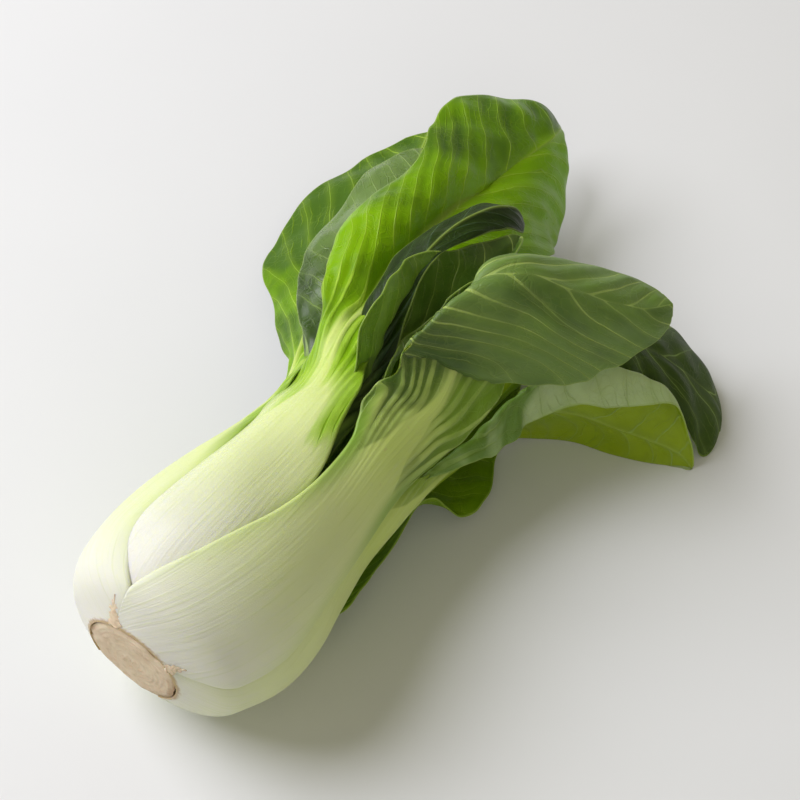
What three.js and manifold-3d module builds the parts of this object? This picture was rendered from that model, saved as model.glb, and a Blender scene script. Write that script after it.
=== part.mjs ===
// A head of bok choy lying on its side: overlapping leaves on a short stem, cut square at the base.
// Millimetres. +X runs from the cut base to the leaf tips, +Z is up, and the surface it lies on is z = 0.
// Each leaf is one grown piece, from its thick pale stalk to its thin green blade.
import * as THREE from 'three';
import { mergeVertices } from 'three/addons/utils/BufferGeometryUtils.js';
import Module from 'manifold-3d';

// ---- driving dimensions ----------------------------------------------------
// The bulb that the stalks form: its radius and its sideways bend, at stations from the cut base.
const STATION = [0, 6, 14, 24, 36, 48, 60, 76, 94, 110, 126];
const BULB_RADIUS = [17, 30, 35.5, 38.5, 39.3, 38, 35.5, 32.2, 30.2, 29, 28];
const BULB_BEND = [0, -1.8, -2, -3.2, -4.3, -4.4, -4.5, -5.3, -7.8, -9, -9];
const AXIS_HEIGHT = 39.5;

const OUTER_STALK = 7.5; // wall of an outer stalk at its thickest
const INNER_STALK = 5;
const HEART_STALK = 3.5;
const CUT_WALL = 4; // wall where the knife went through the leaf bases
const NECK_WALL = 3.2; // wall where stalk turns into blade
const STALK_EDGE = 2;
const BLADE_WALL = 1.3;

const STEM_RADIUS = [[0, 12.6], [4, 14.4], [10, 14.8], [16, 14], [24, 10.5], [32, 5.5], [37, 0]];
const GAP = 0.35; // clearance between neighbouring pieces

const HALF_COLUMNS = 4; // columns of facets on each side of a midrib
const STEPS_PER_ROW = 2; // bands of facets between two hand-placed rows

// Soft leaves flatten where they lie: whatever hangs lower than this is trimmed level with it.
const REST_LEVEL = 0.8;

// The origin is under the middle of the whole head, on the surface it lies on.
const BOX_MIDDLE = [136.7, -8.9];

// ---- leaf sections ---------------------------------------------------------
// A section is a list of points on the leaf's outer face, from its left margin over the midrib to its
// right margin, seen from outside with the base below.

function atStation(x, values) {
  let i = 0;
  while (i < STATION.length - 2 && x > STATION[i + 1]) i += 1;
  const part = (x - STATION[i]) / (STATION[i + 1] - STATION[i]);
  return values[i] + (values[i + 1] - values[i]) * Math.min(Math.max(part, 0), 1);
}

function columns() {
  const list = [];
  for (let i = -HALF_COLUMNS; i <= HALF_COLUMNS; i += 1) list.push(i / HALF_COLUMNS);
  return list;
}

// A section that wraps the bulb at station x. Angles are in degrees about the bulb's axis, 90 being up;
// the depths say how far below the bulb's surface the left margin, midrib and right margin lie.
function wrap(x, left, middle, right, depthLeft = 0, depthMiddle = 0, depthRight = 0) {
  const radius = atStation(x, BULB_RADIUS);
  const bend = atStation(x, BULB_BEND);
  return columns().map((v) => {
    const w = Math.abs(v);
    const side = v < 0 ? left : right;
    const depthSide = v < 0 ? depthLeft : depthRight;
    const angle = THREE.MathUtils.degToRad(middle + (side - middle) * w);
    const r = radius - (depthMiddle + (depthSide - depthMiddle) * w * w);
    return new THREE.Vector3(x, bend + r * Math.cos(angle), AXIS_HEIGHT + r * Math.sin(angle));
  });
}

function parabola(start, through, end, w) {
  return new THREE.Vector3().fromArray([0, 1, 2].map((axis) => {
    const control = (4 * through[axis] - start[axis] - end[axis]) / 2;
    return start[axis] * (1 - w) ** 2 + 2 * control * w * (1 - w) + end[axis] * w * w;
  }));
}

// A section through five places: left margin, left half, midrib, right half and right margin.
function across(left, leftHalf, midrib, rightHalf, right) {
  return columns().map((v) => (
    v < 0 ? parabola(midrib, leftHalf, left, -v) : parabola(midrib, rightHalf, right, v)
  ));
}

function tip(place) {
  return columns().map(() => new THREE.Vector3(...place));
}

// ---- the leaves, outermost first -------------------------------------------

// Faces the front and top. Its blade folds back over its own ribs and points to the front right.
const frontLeaf = {
  name: 'front_leaf',
  stalk: OUTER_STALK,
  stalkRows: 8,
  rows: [
    wrap(0, 74, 110, 146),
    wrap(6, 80, 124, 168),
    wrap(14, 89, 130, 171),
    wrap(26, 98, 133, 169),
    wrap(40, 105, 136, 166),
    wrap(56, 113, 140, 166),
    wrap(74, 117, 142, 168),
    wrap(92, 112, 137, 164),
    across([104, -14, 71], [109, -22, 67], [110, -30, 60], [112, -35, 53], [112, -38, 45]),
    across([114, -17, 74], [116, -21, 72], [124, -31, 63], [125, -37, 57], [125, -42, 49]),
    across([127, -25, 69], [123, -18, 82], [137, -29, 73], [141, -36, 66], [142, -43, 56]),
    across([138, -38, 60], [135, -25, 83], [150, -24, 87], [160, -24, 86], [168, -29, 77]),
    across([151, -53, 53], [153, -40, 79], [162, -34, 89], [171, -30, 86], [179, -29, 76]),
    across([167, -62, 48], [166, -52, 73], [172, -47, 80], [182, -42, 76], [191, -39, 68]),
    across([184, -69, 48], [182, -64, 62], [183, -58, 69], [192, -54, 68], [200, -51, 62]),
    across([196, -73, 51], [193, -70, 57], [193, -66, 61], [199, -62, 60], [205, -60, 57]),
    tip([204, -70, 55]),
  ],
};

// Grows on the far left and spreads low to the left.
const leftLeaf = {
  name: 'left_leaf',
  stalk: OUTER_STALK,
  stalkRows: 8,
  rows: [
    wrap(0, -30, 25, 70),
    wrap(6, -38, 20, 79, 1),
    wrap(14, -42, 14, 70, 2),
    wrap(26, -42, 8, 58, 2),
    wrap(42, -42, 8, 56, 2),
    wrap(60, -38, 8, 54, 2),
    wrap(78, -34, 10, 50, 2),
    wrap(94, -28, 12, 41, 2),
    across([109, 19, 27], [109, 23, 37], [109, 21, 46], [110, 19, 52], [110, 15, 57]),
    across([124, 32, 27], [124, 32, 35], [124, 27, 43], [125, 21, 49], [126, 14, 53]),
    across([135, 45, 22], [137, 41, 31], [139, 34, 38], [142, 26, 45], [145, 17, 50]),
    across([149, 60, 17], [152, 52, 26], [156, 41, 34], [160, 30, 41], [164, 18, 46]),
    across([162, 73, 14], [167, 60, 23], [174, 44, 31], [179, 32, 38], [184, 20, 43]),
    across([181, 80, 12], [187, 65, 21], [194, 47, 28], [199, 35, 35], [203, 23, 40]),
    across([206, 81, 12], [210, 66, 20], [213, 50, 26], [217, 39, 32], [221, 29, 36]),
    across([229, 73, 14], [230, 62, 20], [232, 53, 24], [233, 46, 27], [235, 41, 30]),
    tip([246, 58, 21]),
  ],
};

// Grows on the right. Its blade arches over like a tunnel and its tip rests on the surface.
const rightLeaf = {
  name: 'right_leaf',
  stalk: OUTER_STALK,
  stalkRows: 8,
  rows: [
    wrap(0, 152, 200, 240),
    wrap(6, 158, 208, 262, 4, 0, 1),
    wrap(14, 160, 210, 266, 6, 0, 2),
    wrap(26, 158, 208, 262, 6, 0, 2),
    wrap(42, 156, 200, 254, 6, 0, 2),
    wrap(58, 156, 194, 240, 5, 0, 2),
    wrap(74, 158, 190, 226, 4, 0, 2),
    wrap(92, 158, 186, 214, 4, 0, 2),
    across([112, -40, 40], [110, -38, 43], [109, -39, 37], [108, -37, 31], [107, -35, 26]),
    across([124, -46, 36], [123, -41, 43], [124, -40, 35], [123, -38, 29], [121, -37, 24]),
    across([134, -47, 31], [135, -43, 44], [140, -44, 35], [139, -41, 25], [137, -36, 17]),
    across([143, -49, 31], [145, -45, 47], [155, -49, 32], [156, -44, 18], [154, -38, 6]),
    across([149, -50, 33], [157, -49, 47], [165, -58, 27], [166, -52, 13], [164, -45, 2]),
    across([160, -62, 37], [171, -58, 45], [172, -69, 20], [173, -64, 9], [170, -58, 1]),
    across([173, -73, 34], [182, -70, 40], [179, -80, 13], [178, -77, 6], [175, -74, 1]),
    across([186, -86, 27], [188, -83, 26], [184, -90, 7], [182, -88, 3], [180, -87, 1]),
    tip([185, -96, 1]),
  ],
};

// Grows on top, tucked under the front and left leaves, and reaches furthest.
const topLeaf = {
  name: 'top_leaf',
  stalk: OUTER_STALK,
  stalkRows: 9,
  rows: [
    wrap(3, 44, 78, 104, 4, 2, 4),
    wrap(9, 44, 80, 108, 6, 2, 6),
    wrap(18, 44, 80, 112, 6, 1, 6),
    wrap(30, 44, 80, 114, 5, 0, 5),
    wrap(44, 44, 80, 116, 5, 0, 5),
    wrap(60, 44, 78, 117, 4, 0, 4),
    wrap(78, 42, 74, 112, 3, 0, 1),
    wrap(94, 36, 68, 99, 1, 0, 0),
    wrap(108, 33, 62, 92),
    across([126, 20, 62], [125, 15, 66], [126, 9, 67], [128, 3, 66], [128, -3, 63]),
    across([142, 30, 63], [143, 22, 66], [143, 11, 66], [144, 2, 66], [144, -8, 61]),
    across([160, 38, 60], [161, 27, 68], [162, 12, 64], [163, 0, 63], [163, -12, 54]),
    across([180, 38, 61], [181, 26, 67], [182, 12, 62], [183, -2, 56], [184, -15, 44]),
    across([203, 34, 62], [202, 24, 65], [202, 11, 58], [204, -3, 47], [206, -15, 33]),
    across([221, 40, 60], [221, 26, 58], [220, 10, 51], [223, -2, 37], [226, -12, 20]),
    across([241, 44, 53], [239, 27, 51], [238, 11, 44], [239, 1, 29], [239, -5, 10]),
    across([261, 35, 42], [257, 24, 43], [255, 12, 36], [256, 5, 25], [255, 1, 13]),
    across([272, 26, 34], [269, 20, 34], [267, 14, 30], [267, 10, 25], [265, 8, 19]),
    tip([273, 17, 26]),
  ],
};

// Grows underneath and lies flat. A lobe of its margin shows at the right.
const bottomLeaf = {
  name: 'bottom_leaf',
  stalk: OUTER_STALK,
  stalkRows: 5,
  rows: [
    wrap(3, 246, 290, 324, 4, 1, 4),
    wrap(9, 250, 292, 326, 6, 1, 6),
    wrap(18, 248, 292, 326, 6, 0, 6),
    wrap(32, 244, 290, 326, 5, 0, 5),
    wrap(48, 236, 286, 324, 4, 0, 4),
    across([65, -34, 13], [64, -20, 3], [64, -4, 1], [66, 11, 4], [66, 20, 12]),
    across([84, -34, 12], [84, -22, 3], [84, -7, 1], [85, 8, 3], [85, 18, 10]),
    across([100, -33, 17], [102, -24, 5], [102, -9, 1], [103, 6, 2], [103, 17, 7]),
    across([113, -36, 20], [113, -27, 8], [118, -11, 1], [120, 5, 1], [120, 19, 4]),
    across([119, -43, 7], [124, -30, 7], [134, -12, 1], [137, 6, 1], [138, 22, 2]),
    across([131, -47, 7], [139, -31, 3], [151, -12, 1], [154, 7, 1], [155, 23, 1]),
    across([149, -38, 4], [156, -26, 2], [168, -11, 1], [172, 7, 1], [172, 22, 1]),
    across([170, -32, 2], [176, -22, 1], [185, -8, 1], [189, 6, 1], [189, 18, 1]),
    across([190, -22, 1], [195, -15, 1], [200, -5, 1], [203, 4, 1], [203, 11, 1]),
    tip([211, -5, 1]),
  ],
};

// Second whorl: between the left and top leaves, its blade over the left leaf's.
const leftInnerLeaf = {
  name: 'left_inner_leaf',
  stalk: INNER_STALK,
  stalkRows: 6,
  rows: [
    wrap(10, -30, 14, 56, 11, 9, 11),
    wrap(20, -32, 14, 56, 11, 9, 11),
    wrap(34, -32, 14, 56, 11, 9, 11),
    wrap(50, -30, 14, 54, 11, 9, 11),
    wrap(70, -26, 16, 52, 11, 9, 10),
    wrap(90, -18, 22, 50, 11, 9, 9),
    across([106, 11, 42], [107, 14, 47], [108, 13, 51], [109, 10, 54], [110, 6, 56]),
    across([120, 23, 50], [121, 20, 53], [122, 16, 55], [124, 11, 57], [126, 5, 57]),
    across([131, 32, 48], [134, 28, 53], [138, 21, 56], [141, 13, 58], [144, 4, 57]),
    across([143, 43, 47], [147, 36, 53], [154, 26, 56], [159, 16, 58], [163, 5, 56]),
    across([160, 50, 45], [166, 40, 52], [173, 30, 55], [178, 19, 56], [182, 8, 53]),
    across([184, 53, 43], [187, 44, 49], [192, 33, 52], [196, 23, 53], [199, 13, 50]),
    across([205, 54, 42], [206, 46, 46], [208, 37, 48], [211, 29, 49], [213, 21, 47]),
    tip([221, 44, 44]),
  ],
};

// Second whorl: its blade hangs to the far right, behind the right leaf.
const backLeaf = {
  name: 'back_leaf',
  stalk: INNER_STALK,
  stalkRows: 6,
  rows: [
    wrap(10, 182, 222, 262, 12, 9, 12),
    wrap(22, 182, 222, 264, 12, 9, 12),
    wrap(38, 182, 220, 262, 12, 9, 12),
    wrap(56, 182, 216, 252, 11, 9, 11),
    wrap(76, 180, 208, 238, 11, 9, 11),
    wrap(94, 176, 200, 226, 10, 8, 10),
    across([112, -28, 42], [113, -31, 38], [113, -32, 33], [112, -30, 28], [111, -27, 24]),
    across([132, -30, 52], [133, -35, 46], [133, -37, 39], [132, -33, 30], [130, -27, 23]),
    across([152, -36, 55], [154, -42, 51], [154, -42, 44], [156, -36, 38], [157, -27, 32]),
    across([174, -54, 44], [174, -53, 48], [175, -51, 45], [181, -44, 41], [186, -36, 36]),
    across([186, -72, 28], [189, -68, 36], [194, -62, 37], [202, -56, 34], [208, -50, 28]),
    across([192, -88, 12], [196, -83, 21], [203, -75, 25], [212, -68, 24], [219, -62, 20]),
    across([190, -96, 2], [197, -91, 10], [207, -84, 15], [215, -79, 15], [221, -74, 12]),
    across([196, -98, 1], [202, -94, 7], [209, -89, 9], [214, -86, 9], [218, -83, 7]),
    tip([209, -93, 3]),
  ],
};

// Second whorl: a short blade that arches over the curled leaf's tip like a hood.
const hoodLeaf = {
  name: 'hood_leaf',
  stalk: INNER_STALK,
  stalkRows: 6,
  rows: [
    wrap(12, 66, 92, 120, 12, 9, 12),
    wrap(26, 66, 92, 122, 12, 9, 12),
    wrap(42, 66, 92, 122, 12, 9, 12),
    wrap(60, 62, 88, 118, 12, 9, 12),
    wrap(80, 58, 82, 112, 11, 9, 11),
    wrap(98, 52, 76, 104, 9, 8, 9),
    across([115, 5, 58], [116, 2, 60], [117, -3, 61], [118, -8, 60], [118, -12, 57]),
    across([134, 10, 62], [134, 5, 66], [135, -1, 68], [137, -5, 70], [138, -7, 71]),
    across([152, 13, 67], [153, 7, 72], [154, 1, 74], [156, -2, 76], [158, -3, 77]),
    across([172, 9, 70], [172, 5, 74], [173, 0, 76], [175, -5, 76], [177, -8, 74]),
    across([191, 4, 68], [191, 0, 71], [190, -4, 73], [190, -8, 71], [190, -12, 68]),
    across([200, -2, 64], [200, -5, 66], [200, -8, 67], [199, -11, 64], [198, -14, 60]),
    tip([203, -10, 60]),
  ],
};

// Third whorl: a blade curled lengthwise into a channel that opens upwards, in the gap on top.
const curledLeaf = {
  name: 'curled_leaf',
  stalk: HEART_STALK,
  stalkRows: 3,
  rows: [
    wrap(14, 250, 292, 334, 19, 16, 19),
    wrap(26, 250, 292, 336, 19, 17, 19),
    wrap(42, 250, 294, 338, 19, 18, 19),
    across([60, -17, 31], [60, -12, 25], [60, -4, 23], [60, 3, 26], [60, 7, 31]),
    across([78, -18, 43], [78, -14, 36], [78, -7, 33], [78, 0, 37], [78, 3, 43]),
    across([94, -17, 54], [95, -14, 48], [95, -9, 45], [95, -4, 49], [96, 0, 54]),
    across([107, -15, 61], [109, -14, 56], [109, -9, 53], [109, -5, 58], [109, -4, 64]),
    across([119, -12, 66], [121, -12, 61], [121, -7, 58], [119, -3, 66], [117, -3, 76]),
    across([133, -9, 66], [134, -11, 62], [134, -7, 59], [130, -1, 70], [128, 1, 83]),
    across([146, -11, 67], [147, -13, 63], [148, -9, 60], [145, -2, 71], [142, 2, 84]),
    across([157, -14, 70], [159, -16, 65], [161, -12, 62], [158, -5, 70], [155, 2, 80]),
    across([170, -18, 70], [172, -19, 66], [173, -15, 63], [171, -10, 68], [169, -4, 75]),
    across([183, -20, 67], [184, -19, 65], [185, -17, 63], [185, -14, 65], [184, -9, 69]),
    tip([193, -16, 64]),
  ],
};

// The heart: three small young leaves, closed in by the stalks.
function heartLeaf(name, start, length, turn, radius) {
  const stations = [0, 0.2, 0.45, 0.7, 0.88];
  const reach = [0.8, 1, 1.05, 0.85, 0.5];
  const rows = stations.map((part, i) => {
    const x = start + length * part;
    const depth = atStation(x, BULB_RADIUS) - radius * reach[i];
    return wrap(x, turn - 52, turn, turn + 52, depth, depth, depth);
  });
  const end = start + length;
  const angle = THREE.MathUtils.degToRad(turn);
  const bend = atStation(end, BULB_BEND);
  const close = radius * 0.3;
  rows.push(tip([end, bend + close * Math.cos(angle), AXIS_HEIGHT + close * Math.sin(angle)]));
  return { name, stalk: HEART_STALK, stalkRows: 3, rows };
}

const leaves = [
  frontLeaf,
  leftLeaf,
  rightLeaf,
  topLeaf,
  bottomLeaf,
  leftInnerLeaf,
  backLeaf,
  hoodLeaf,
  curledLeaf,
  heartLeaf('heart_leaf_front', 22, 62, 150, 14),
  heartLeaf('heart_leaf_left', 26, 52, 30, 12),
  heartLeaf('heart_leaf_top', 30, 42, 80, 8),
];

// ---- from rows to solids ---------------------------------------------------

function catmullRom(a, b, c, d, t) {
  const point = b.clone().multiplyScalar(2);
  point.addScaledVector(c.clone().sub(a), t);
  point.addScaledVector(a, 2 * t * t).addScaledVector(b, -5 * t * t);
  point.addScaledVector(c, 4 * t * t).addScaledVector(d, -t * t);
  point.addScaledVector(b, 3 * t ** 3).addScaledVector(a, -(t ** 3));
  point.addScaledVector(c, -3 * t ** 3).addScaledVector(d, t ** 3);
  return point.multiplyScalar(0.5);
}

// Smooths the rows along the leaf. Past the tip the margins swap sides, which rounds the leaf's end.
function smoothRows(rows) {
  const before = rows[0].map((p, k) => p.clone().multiplyScalar(2).sub(rows[1][k]));
  const after = [...rows.at(-2)].reverse();
  const all = [before, ...rows, after];
  const grid = [];
  for (let i = 1; i < all.length - 2; i += 1) {
    for (let step = 0; step < STEPS_PER_ROW; step += 1) {
      const t = step / STEPS_PER_ROW;
      grid.push(rows[0].map((_, k) => catmullRom(all[i - 1][k], all[i][k], all[i + 1][k], all[i + 2][k], t)));
    }
  }
  grid.push(rows.at(-1).map((p) => p.clone()));
  return grid;
}

function outwardNormal(grid, u, k) {
  const i = Math.min(u, grid.length - 2);
  const row = grid[i];
  const along = grid[i + 1][k].clone().sub(grid[Math.max(i - 1, 0)][k]);
  const toLeft = row[Math.max(k - 1, 0)].clone().sub(row[Math.min(k + 1, row.length - 1)]);
  return along.cross(toLeft).normalize();
}

function wallAt(leaf, u, k, lastRow) {
  const row = u / STEPS_PER_ROW;
  const stops = [0, 1.5, leaf.stalkRows - 1, leaf.stalkRows + 1.5, lastRow];
  const middles = [CUT_WALL, leaf.stalk, NECK_WALL, BLADE_WALL, BLADE_WALL];
  const edges = [STALK_EDGE, STALK_EDGE, STALK_EDGE, BLADE_WALL, BLADE_WALL];
  let i = 0;
  while (i < stops.length - 2 && row > stops[i + 1]) i += 1;
  const part = (row - stops[i]) / (stops[i + 1] - stops[i]);
  const middle = THREE.MathUtils.lerp(middles[i], middles[i + 1], part);
  const edge = THREE.MathUtils.lerp(edges[i], edges[i + 1], part);
  const w = Math.abs(k - HALF_COLUMNS) / HALF_COLUMNS;
  return edge + (Math.min(middle, leaf.stalk) - edge) * (1 - w * w);
}

// One closed body: outer face, inner face, two margins and the base, meeting at the tip.
// grow fattens it all round, to cut its neighbours clear of it.
function leafGeometry(leaf, grow = 0) {
  const grid = smoothRows(leaf.rows);
  const lastRow = leaf.rows.length - 1;
  const lastColumn = 2 * HALF_COLUMNS;
  const outer = grid.map((row, u) => row.map((p, k) => (
    p.clone().addScaledVector(outwardNormal(grid, u, k), grow)
  )));
  const inner = grid.map((row, u) => row.map((p, k) => (
    p.clone().addScaledVector(outwardNormal(grid, u, k), -grow - wallAt(leaf, u, k, lastRow))
  )));
  for (const face of [outer, inner]) {
    for (const row of face) {
      const left = row[0].clone().sub(row[1]).setLength(grow);
      const right = row[lastColumn].clone().sub(row[lastColumn - 1]).setLength(grow);
      row[0].add(left);
      row[lastColumn].add(right);
    }
  }
  const lastStep = grid.length - 1;
  const outerTip = outer[lastStep][HALF_COLUMNS];
  const innerTip = inner[lastStep][HALF_COLUMNS];
  const triangles = [];
  const quad = (a, b, c, d) => triangles.push(a, b, c, a, c, d);
  for (let u = 0; u < lastStep - 1; u += 1) {
    for (let k = 0; k < lastColumn; k += 1) {
      quad(outer[u][k], outer[u][k + 1], outer[u + 1][k + 1], outer[u + 1][k]);
      quad(inner[u][k], inner[u + 1][k], inner[u + 1][k + 1], inner[u][k + 1]);
    }
    quad(outer[u][0], outer[u + 1][0], inner[u + 1][0], inner[u][0]);
    quad(outer[u][lastColumn], inner[u][lastColumn], inner[u + 1][lastColumn], outer[u + 1][lastColumn]);
  }
  const u = lastStep - 1;
  for (let k = 0; k < lastColumn; k += 1) {
    triangles.push(outer[u][k], outer[u][k + 1], outerTip);
    triangles.push(inner[u][k], innerTip, inner[u][k + 1]);
    quad(outer[0][k], inner[0][k], inner[0][k + 1], outer[0][k + 1]);
  }
  quad(outer[u][0], outerTip, innerTip, inner[u][0]);
  quad(outer[u][lastColumn], inner[u][lastColumn], innerTip, outerTip);
  return new THREE.BufferGeometry().setFromPoints(triangles);
}

// The short stem that the leaves grow from, turned about the bulb's axis.
function stemGeometry(grow = 0) {
  const outline = [new THREE.Vector2(0, -grow)];
  for (const [x, radius] of STEM_RADIUS) {
    const end = radius === 0 ? grow : 0;
    const start = x === 0 ? -grow : 0;
    outline.push(new THREE.Vector2(radius === 0 ? 0 : radius + grow, x + end + start));
  }
  const geometry = new THREE.LatheGeometry(outline, 32);
  geometry.rotateZ(-Math.PI / 2);
  geometry.translate(0, 0, AXIS_HEIGHT);
  return geometry;
}

const wasm = await Module();
wasm.setup();

function toSolid(geometry) {
  const bare = geometry.clone();
  bare.deleteAttribute('normal');
  bare.deleteAttribute('uv');
  const merged = mergeVertices(bare, 1e-4);
  const mesh = new wasm.Mesh({
    numProp: 3,
    vertProperties: new Float32Array(merged.attributes.position.array),
    triVerts: new Uint32Array(merged.index.array),
  });
  return new wasm.Manifold(mesh);
}

function largestBody(solid) {
  const bodies = solid.decompose();
  return bodies.reduce((best, body) => (body.volume() > best.volume() ? body : best));
}

function toGeometry(solid) {
  const { vertProperties, triVerts, numProp } = solid.getMesh();
  const positions = new Float32Array((vertProperties.length / numProp) * 3);
  for (let i = 0; i < positions.length / 3; i += 1) {
    for (let axis = 0; axis < 3; axis += 1) positions[i * 3 + axis] = vertProperties[i * numProp + axis];
  }
  const geometry = new THREE.BufferGeometry();
  geometry.setAttribute('position', new THREE.BufferAttribute(positions, 3));
  geometry.setIndex(new THREE.BufferAttribute(new Uint32Array(triVerts), 1));
  geometry.computeVertexNormals();
  return geometry;
}

// ---- assembly --------------------------------------------------------------

const head = new THREE.Group();
head.position.set(-BOX_MIDDLE[0], -BOX_MIDDLE[1], -REST_LEVEL);

function addPiece(name, geometry, color, roughness) {
  const material = new THREE.MeshStandardMaterial({ color, roughness, metalness: 0 });
  const mesh = new THREE.Mesh(geometry, material);
  mesh.name = name;
  head.add(mesh);
}

const LEAF_COLORS = {
  front_leaf: '#4f6f3a',
  left_leaf: '#6c9a34',
  right_leaf: '#557a3a',
  top_leaf: '#6a9a3a',
  bottom_leaf: '#4c7a24',
  left_inner_leaf: '#4a6a40',
  back_leaf: '#3f5f34',
  hood_leaf: '#3c5a34',
  curled_leaf: '#456a36',
  heart_leaf_front: '#9cc46a',
  heart_leaf_left: '#a6cc74',
  heart_leaf_top: '#b4d684',
};

addPiece('stem_base', stemGeometry(), '#d8cdb4', 0.8);
let taken = toSolid(stemGeometry(GAP));
for (const leaf of leaves) {
  const whole = toSolid(leafGeometry(leaf));
  const free = largestBody(whole.subtract(taken).trimByPlane([0, 0, 1], REST_LEVEL));
  addPiece(leaf.name, toGeometry(free), LEAF_COLORS[leaf.name], 0.5);
  taken = taken.add(toSolid(leafGeometry(leaf, GAP))).add(whole);
}

export default head;
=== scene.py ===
# A head of bok choy on a pale floor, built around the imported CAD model.
# Leaf rows are in millimetres, as in the part's own design; everything else is in metres.
import math
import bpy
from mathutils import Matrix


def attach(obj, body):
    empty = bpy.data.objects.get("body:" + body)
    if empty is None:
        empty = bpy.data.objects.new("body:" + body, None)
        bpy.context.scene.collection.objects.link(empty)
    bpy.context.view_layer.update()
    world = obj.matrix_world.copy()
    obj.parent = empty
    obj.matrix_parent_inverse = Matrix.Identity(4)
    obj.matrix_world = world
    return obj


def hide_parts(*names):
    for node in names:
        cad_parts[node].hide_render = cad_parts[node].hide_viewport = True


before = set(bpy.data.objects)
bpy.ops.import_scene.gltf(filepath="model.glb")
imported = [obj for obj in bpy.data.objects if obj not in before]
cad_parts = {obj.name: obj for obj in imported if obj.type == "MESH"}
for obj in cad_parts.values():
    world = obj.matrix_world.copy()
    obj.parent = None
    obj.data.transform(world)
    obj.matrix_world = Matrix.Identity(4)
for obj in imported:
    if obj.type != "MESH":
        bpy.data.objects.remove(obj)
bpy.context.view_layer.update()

from types import SimpleNamespace

import bmesh
import bpy
import numpy as np
from mathutils import Vector

# ---- driving dimensions ----
MM = 0.001

# The bulb that the stalks form, at stations from the cut base.
STATION = [0, 6, 14, 24, 36, 48, 60, 76, 94, 110, 126]
BULB_RADIUS = [17, 30, 35.5, 38.5, 39.3, 38, 35.5, 32.2, 30.2, 29, 28]
BULB_BEND = [0, -1.8, -2, -3.2, -4.3, -4.4, -4.5, -5.3, -7.8, -9, -9]
AXIS_HEIGHT = 39.5
REST_LEVEL = 0.8
# The least height of a leaf's inner face above its outer one where both touch the surface.
REST_WALL = 0.3
# From the leaf rows' origin, at the cut base, to the frame's, under the middle of the head.
TO_FRAME = np.array([-136.7, 8.9, -REST_LEVEL])

OUTER_STALK = 7.5
INNER_STALK = 5
HEART_STALK = 3.5
CUT_WALL = 4
NECK_WALL = 3.2
STALK_EDGE = 2.2
NECK_EDGE = 1.4
BLADE_WALL = 0.55

# The fineness of a leaf's mesh: columns on each side of the midrib, steps between rows of its list, and
# steps round each margin.
HALF_COLUMNS = 44
STEPS_PER_ROW = 14
MARGIN_STEPS = 4
WELD_DISTANCE = 1e-6
SHARP_ANGLE = math.radians(60)

# A heart leaf's radius at parts of its length, its radius at the tip, and its half width in degrees.
HEART_SHAPE = [(0, 0.8), (0.2, 1), (0.45, 1.05), (0.7, 0.85), (0.88, 0.5)]
HEART_TIP = 0.3
HEART_HALF_WIDTH = 52

# The stem's radius and distance from the cut, and the cut face's dish.
STEM_PROFILE = [(16.4, 0.0), (15.6, 1.5), (14.6, 4), (14.4, 10), (13.6, 16), (10, 24), (5, 32), (0.1, 36.6)]
STEM_SIDES = 160
STEM_SEED = 5
CUT_RINGS = 34
CUT_DISH = 0.5
# Strips of stem torn up between the stalks: angle about the axis, length, half angle at the cut, seed.
SCARS = {"upper_scar": (72, 5.0, 8, 21), "lower_scar": (148, 2.6, 7, 22)}
SCAR_STEPS = (60, 25)
SCAR_THICKNESS = 1.6

# ---- how ribs and veins run ----
# The lists of rows below count from where the blade begins, at the top of the stalk.

# How far out from the midrib the pale rib tissue reaches, as a part of the leaf's half width.
RIB_ROWS = [-3, -1.2, -0.5, 0, 1, 2, 3, 6, 9]
RIB_PART = [1.4, 1.2, 0.7, 0.35, 0.13, 0.06, 0.03, 0.008, 0.0]
RIB_LEAST = 0.12
# How much of the gap between side veins the pale ribs fill.
FILL_ROWS = [-1.5, -0.8, 0, 1, 2, 3]
FILL_PART = [1.3, 1.0, 0.66, 0.4, 0.16, 0]
# How steeply the side veins lean forward, and how many ribs the stalk carries on each side.
LEAN_ROWS = [-1, 0, 1, 2, 3, 5, 9]
VEIN_LEAN = [5.2, 4.4, 3.5, 2.7, 2.2, 1.6, 1.15]
STALK_RIBS = 6
# Half the width of a side vein beside the midrib.
FINE_ROWS = [-1, 0, 1, 2, 4, 9]
FINE_HALF = [0.8, 0.8, 0.6, 0.42, 0.3, 0.2]
# How far the midrib and the side ribs stand out from the outer face.
RIDGE_ROWS = [-2, 0, 2, 5, 9]
RIDGE_HEIGHT = [0, 0.3, 0.9, 0.6, 0.25]
FAN_ROWS = [-5, -2, -1, 0, 1.5, 3]
FAN_HEIGHT = [0, 0.02, 0.06, 0.16, 0.3, 0]
# How deep the blade puckers along its side veins, how deep the margin's scallops may be, and how high the
# stalk's swellings are.
PUCKER = 0.4
SCALLOP_MEAN = 0.45
SCALLOP_MOST = 1.4
SWELL = 0.4
NOISE_WAVES = 5

COLUMNS = np.linspace(-1, 1, 2 * HALF_COLUMNS + 1)
SIDE = np.abs(COLUMNS)[:, None]


# ---- leaf sections ----
# A section is a row of points on a leaf's outer face, from its left margin over the midrib to its right
# margin, seen from outside with the base below.

def around(x, bend, r, angle):
    """Points at radius r and an angle in radians about the bulb's axis, which is moved aside by bend."""
    return np.stack([x, bend + r * np.cos(angle), AXIS_HEIGHT + r * np.sin(angle)], axis=-1)


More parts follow.
